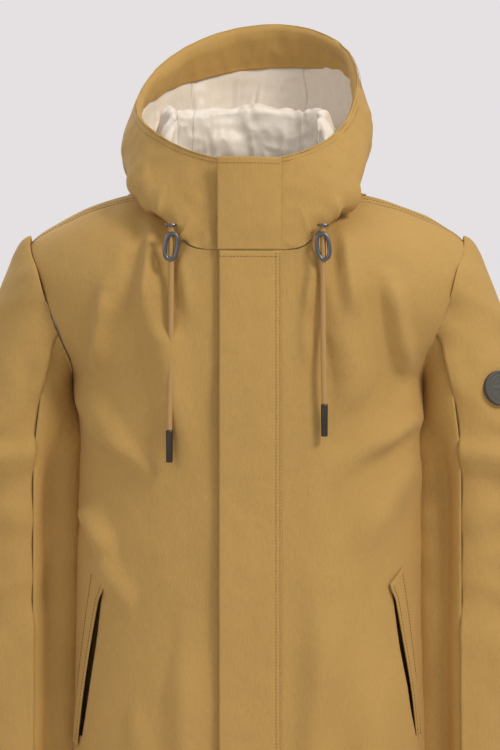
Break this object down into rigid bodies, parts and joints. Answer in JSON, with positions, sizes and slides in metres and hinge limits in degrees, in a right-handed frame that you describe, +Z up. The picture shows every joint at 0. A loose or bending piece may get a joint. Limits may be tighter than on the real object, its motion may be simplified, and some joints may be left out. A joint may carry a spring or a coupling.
{
  "type": "hooded parka",
  "caption": "Hooded cotton parka with a satin lining, zip under a storm flap, slanted flap pockets, set-in sleeves and a drawcord hood with sliding cord locks.",
  "frame": {"origin": "the hanger loop at the inside of the back neck", "axes": "+Z up along the body, the front faces -Y, +X towards the wearer's left"},
  "size_m": [0.598, 0.3053, 1.0488],
  "materials": {
    "camel_cotton": "plain weave, matt",
    "cream_satin": "satin lining, soft sheen",
    "pocket_twill": "matt twill",
    "woven_tape": "woven tape",
    "gunmetal": "dark plated zinc, satin",
    "braided_cord": "braided cotton",
    "moulded_rubber": "matt moulded rubber"
  },
  "bodies": {
    "coat": {"front_panel_left": "camel_cotton", "front_panel_right": "camel_cotton", "back_panel": "camel_cotton", "back_yoke": "camel_cotton", "hood_side_left": "camel_cotton", "hood_side_right": "camel_cotton", "hood_centre_panel": "camel_cotton", "hood_facing": "camel_cotton", "front_lining_left": "cream_satin", "front_lining_right": "cream_satin", "back_lining": "cream_satin", "yoke_lining": "cream_satin", "hood_lining_left": "cream_satin", "hood_lining_right": "cream_satin", "hood_lining_centre": "cream_satin", "pocket_bag_left": "pocket_twill", "pocket_bag_right": "pocket_twill", "zip_tape_left": "woven_tape", "zip_tape_right": "woven_tape", "neck_tape": "woven_tape", "hanger_loop": "woven_tape", "zip_chain_left": "gunmetal", "zip_chain_right": "gunmetal", "zip_box": "gunmetal", "eyelet_left": "gunmetal", "eyelet_right": "gunmetal", "cord_tip_left": "gunmetal", "cord_tip_right": "gunmetal", "snap_stud_1": "gunmetal", "snap_stud_2": "gunmetal", "snap_stud_3": "gunmetal", "snap_stud_4": "gunmetal", "drawcord_left": "braided_cord", "drawcord_right": "braided_cord", "rim_cord": "braided_cord"},
    "storm_flap": {"storm_flap": "camel_cotton", "snap_socket_1": "gunmetal", "snap_socket_2": "gunmetal", "snap_socket_3": "gunmetal", "snap_socket_4": "gunmetal"},
    "throat_flap": {"throat_flap": "camel_cotton"},
    "zip_slider": {"zip_slider": "gunmetal", "zip_pull": "gunmetal"},
    "pocket_flap_left": {"pocket_flap_left": "camel_cotton"},
    "pocket_flap_right": {"pocket_flap_right": "camel_cotton"},
    "cord_lock_left": {"cord_lock_left": "gunmetal"},
    "cord_lock_right": {"cord_lock_right": "gunmetal"},
    "sleeve_left": {"upper_sleeve_left": "camel_cotton", "under_sleeve_left": "camel_cotton", "sleeve_lining_left": "cream_satin", "sleeve_badge": "moulded_rubber"},
    "sleeve_right": {"upper_sleeve_right": "camel_cotton", "under_sleeve_right": "camel_cotton", "sleeve_lining_right": "cream_satin"}
  },
  "joints": [
    {"name": "storm_flap_hinge", "type": "hinge", "parent": "coat", "child": "storm_flap", "pos_m": [0.036, -0.1887, 0], "axis": [0, 0.0209, 0.9998], "range_deg": [0, 150]},
    {"name": "throat_flap_hinge", "type": "hinge", "parent": "coat", "child": "throat_flap", "pos_m": [0.036, -0.1887, 0], "axis": [0, 0.0209, 0.9998], "range_deg": [0, 150]},
    {"name": "zip_slide", "type": "slide", "parent": "coat", "child": "zip_slider", "axis": [0, -0.0209, -0.9998], "range_m": [0, 0.815]},
    {"name": "pocket_flap_left_hinge", "type": "hinge", "parent": "coat", "child": "pocket_flap_left", "pos_m": [0.18823, -0.0956, -0.5982], "axis": [-0.1175, -0.2164, 0.9692], "range_deg": [0, 60]},
    {"name": "pocket_flap_right_hinge", "type": "hinge", "parent": "coat", "child": "pocket_flap_right", "pos_m": [-0.18823, -0.0956, -0.5982], "axis": [-0.1175, 0.2164, -0.9692], "range_deg": [0, 60]},
    {"name": "cord_lock_left_slide", "type": "slide", "parent": "coat", "child": "cord_lock_left", "axis": [0, -0.0204, -0.9998], "range_m": [0, 0.05]},
    {"name": "cord_lock_right_slide", "type": "slide", "parent": "coat", "child": "cord_lock_right", "axis": [0, -0.0204, -0.9998], "range_m": [0, 0.05]},
    {"name": "sleeve_left_shoulder", "type": "hinge", "parent": "coat", "child": "sleeve_left", "pos_m": [0.2359, -0.055, -0.0635], "axis": [0, -1, 0], "range_deg": [0, 60]},
    {"name": "sleeve_right_shoulder", "type": "hinge", "parent": "coat", "child": "sleeve_right", "pos_m": [-0.2359, -0.055, -0.0635], "axis": [0, 1, 0], "range_deg": [0, 60]}
  ],
  "couplings": [
    {"joint": "throat_flap_hinge", "follows": "storm_flap_hinge", "ratio": 1}
  ]
}
